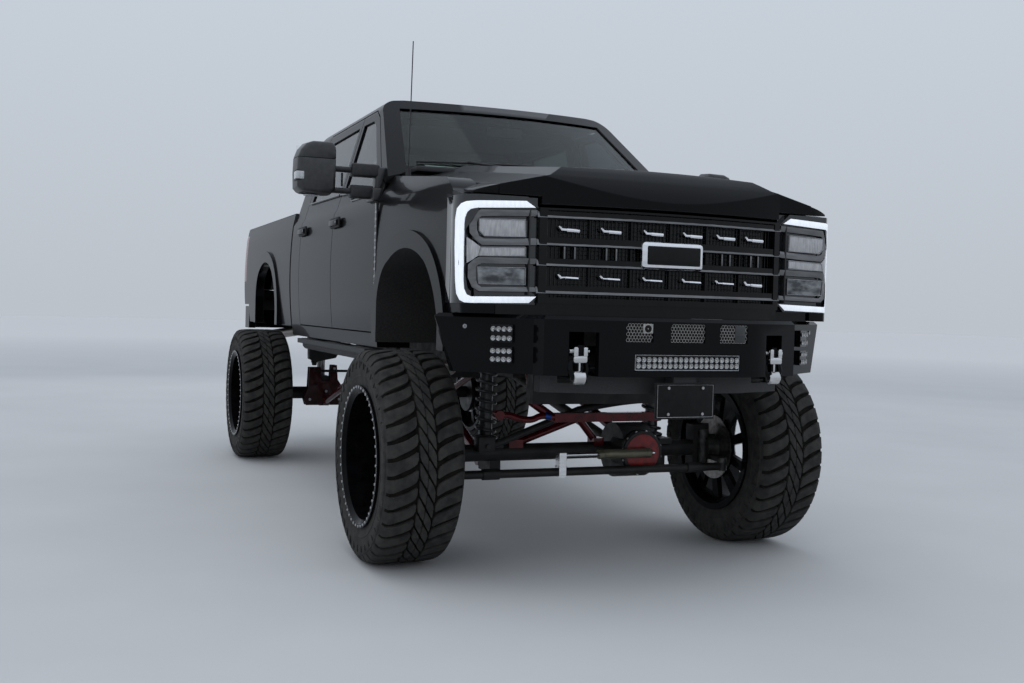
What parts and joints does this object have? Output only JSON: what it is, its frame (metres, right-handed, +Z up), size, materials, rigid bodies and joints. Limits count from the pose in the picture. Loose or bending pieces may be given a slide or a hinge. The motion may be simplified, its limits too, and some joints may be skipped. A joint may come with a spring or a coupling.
{
  "type": "lifted four-door pickup truck",
  "caption": "Black crew-cab pickup truck, lifted, on deep black wheels and tall mud tyres; doors, hood, tailgate, steering and wheels move.",
  "frame": {"origin": "on the ground under the middle of the truck's outline", "axes": "+X towards the front of the truck, +Y towards its left side, +Z up"},
  "size_m": [6.48, 2.88, 2.7401],
  "materials": {
    "body_paint": "gloss",
    "frame_steel": "satin",
    "textured_black": "matte",
    "candy_red": "gloss",
    "cast_metal": "matte",
    "bright_steel": "satin",
    "chrome_trim": "gloss",
    "black_trim": "matte",
    "gloss_black": "gloss",
    "wheel_black": "gloss",
    "tyre_rubber": "matte",
    "tinted_glass": "gloss",
    "lamp_lens": "gloss",
    "red_lens": "gloss",
    "seat_leather": "matte",
    "cabin_plastic": "matte"
  },
  "bodies": {
    "truck": {"chassis_frame": "frame_steel", "powertrain": "cast_metal", "exhaust": "bright_steel", "fuel_tank": "black_trim", "front_axle": "frame_steel", "rear_axle": "frame_steel", "suspension_links": "candy_red", "shock_absorbers": "bright_steel", "cab_shell": "body_paint", "cab_glass": "tinted_glass", "dashboard": "cabin_plastic", "seats": "seat_leather", "antenna": "black_trim", "front_fenders": "body_paint", "grille": "gloss_black", "headlamps": "lamp_lens", "front_bumper": "body_paint", "bumper_lamps": "lamp_lens", "bed_box": "body_paint", "tail_lamps": "red_lens", "rear_bumper": "body_paint", "running_boards": "textured_black"},
    "wheel_front_left": {"wheel_front_left": "wheel_black", "tyre_front_left": "tyre_rubber"},
    "wheel_front_right": {"wheel_front_right": "wheel_black", "tyre_front_right": "tyre_rubber"},
    "wheel_rear_left": {"wheel_rear_left": "wheel_black", "tyre_rear_left": "tyre_rubber"},
    "wheel_rear_right": {"wheel_rear_right": "wheel_black", "tyre_rear_right": "tyre_rubber"},
    "knuckle_left": {"knuckle_left": "cast_metal"},
    "knuckle_right": {"knuckle_right": "cast_metal"},
    "tie_rod": {"tie_rod": "frame_steel"},
    "front_door_left": {"front_door_left": "body_paint", "front_door_glass_left": "tinted_glass", "mirror_left": "black_trim"},
    "front_door_right": {"front_door_right": "body_paint", "front_door_glass_right": "tinted_glass", "mirror_right": "black_trim"},
    "rear_door_left": {"rear_door_left": "body_paint", "rear_door_glass_left": "tinted_glass"},
    "rear_door_right": {"rear_door_right": "body_paint", "rear_door_glass_right": "tinted_glass"},
    "hood": {"hood": "body_paint"},
    "tailgate": {"tailgate": "body_paint"}
  },
  "joints": [
    {"name": "steer_left", "type": "hinge", "parent": "truck", "child": "knuckle_left", "pos_m": [2.14, 0.785, 0.54], "axis": [0, 0, 1], "range_deg": [-32, 32]},
    {"name": "steer_right", "type": "hinge", "parent": "truck", "child": "knuckle_right", "pos_m": [2.14, -0.785, 0.54], "axis": [0, 0, 1], "range_deg": [-32, 32]},
    {"name": "tie_rod_travel", "type": "slide", "parent": "truck", "child": "tie_rod", "axis": [0, 1, 0], "range_m": [-0.113, 0.113]},
    {"name": "spin_front_left", "type": "hinge", "parent": "knuckle_left", "child": "wheel_front_left", "pos_m": [2.14, 1.04, 0.54], "axis": [0, 1, 0], "continuous": true},
    {"name": "spin_front_right", "type": "hinge", "parent": "knuckle_right", "child": "wheel_front_right", "pos_m": [2.14, -1.04, 0.54], "axis": [0, 1, 0], "continuous": true},
    {"name": "spin_rear_left", "type": "hinge", "parent": "truck", "child": "wheel_rear_left", "pos_m": [-1.919, 1.055, 0.54], "axis": [0, 1, 0], "continuous": true},
    {"name": "spin_rear_right", "type": "hinge", "parent": "truck", "child": "wheel_rear_right", "pos_m": [-1.919, -1.055, 0.54], "axis": [0, 1, 0], "continuous": true},
    {"name": "front_door_left_hinge", "type": "hinge", "parent": "truck", "child": "front_door_left", "pos_m": [1.488, 1.002, 1.5], "axis": [0, 0, -1], "range_deg": [0, 66]},
    {"name": "front_door_right_hinge", "type": "hinge", "parent": "truck", "child": "front_door_right", "pos_m": [1.488, -1.002, 1.5], "axis": [0, 0, 1], "range_deg": [0, 66]},
    {"name": "rear_door_left_hinge", "type": "hinge", "parent": "truck", "child": "rear_door_left", "pos_m": [0.426, 1.002, 1.5], "axis": [0, 0, -1], "range_deg": [0, 66]},
    {"name": "rear_door_right_hinge", "type": "hinge", "parent": "truck", "child": "rear_door_right", "pos_m": [0.426, -1.002, 1.5], "axis": [0, 0, 1], "range_deg": [0, 66]},
    {"name": "hood_hinge", "type": "hinge", "parent": "truck", "child": "hood", "pos_m": [1.635, 0, 2.122], "axis": [0, -1, 0], "range_deg": [0, 45]},
    {"name": "tailgate_hinge", "type": "hinge", "parent": "truck", "child": "tailgate", "pos_m": [-3.105, 0, 1.434], "axis": [0, -1, 0], "range_deg": [0, 90]}
  ],
  "couplings": [
    {"joint": "steer_right", "follows": "steer_left", "ratio": 1},
    {"joint": "tie_rod_travel", "follows": "steer_left", "m_per_rad": 0.2}
  ]
}
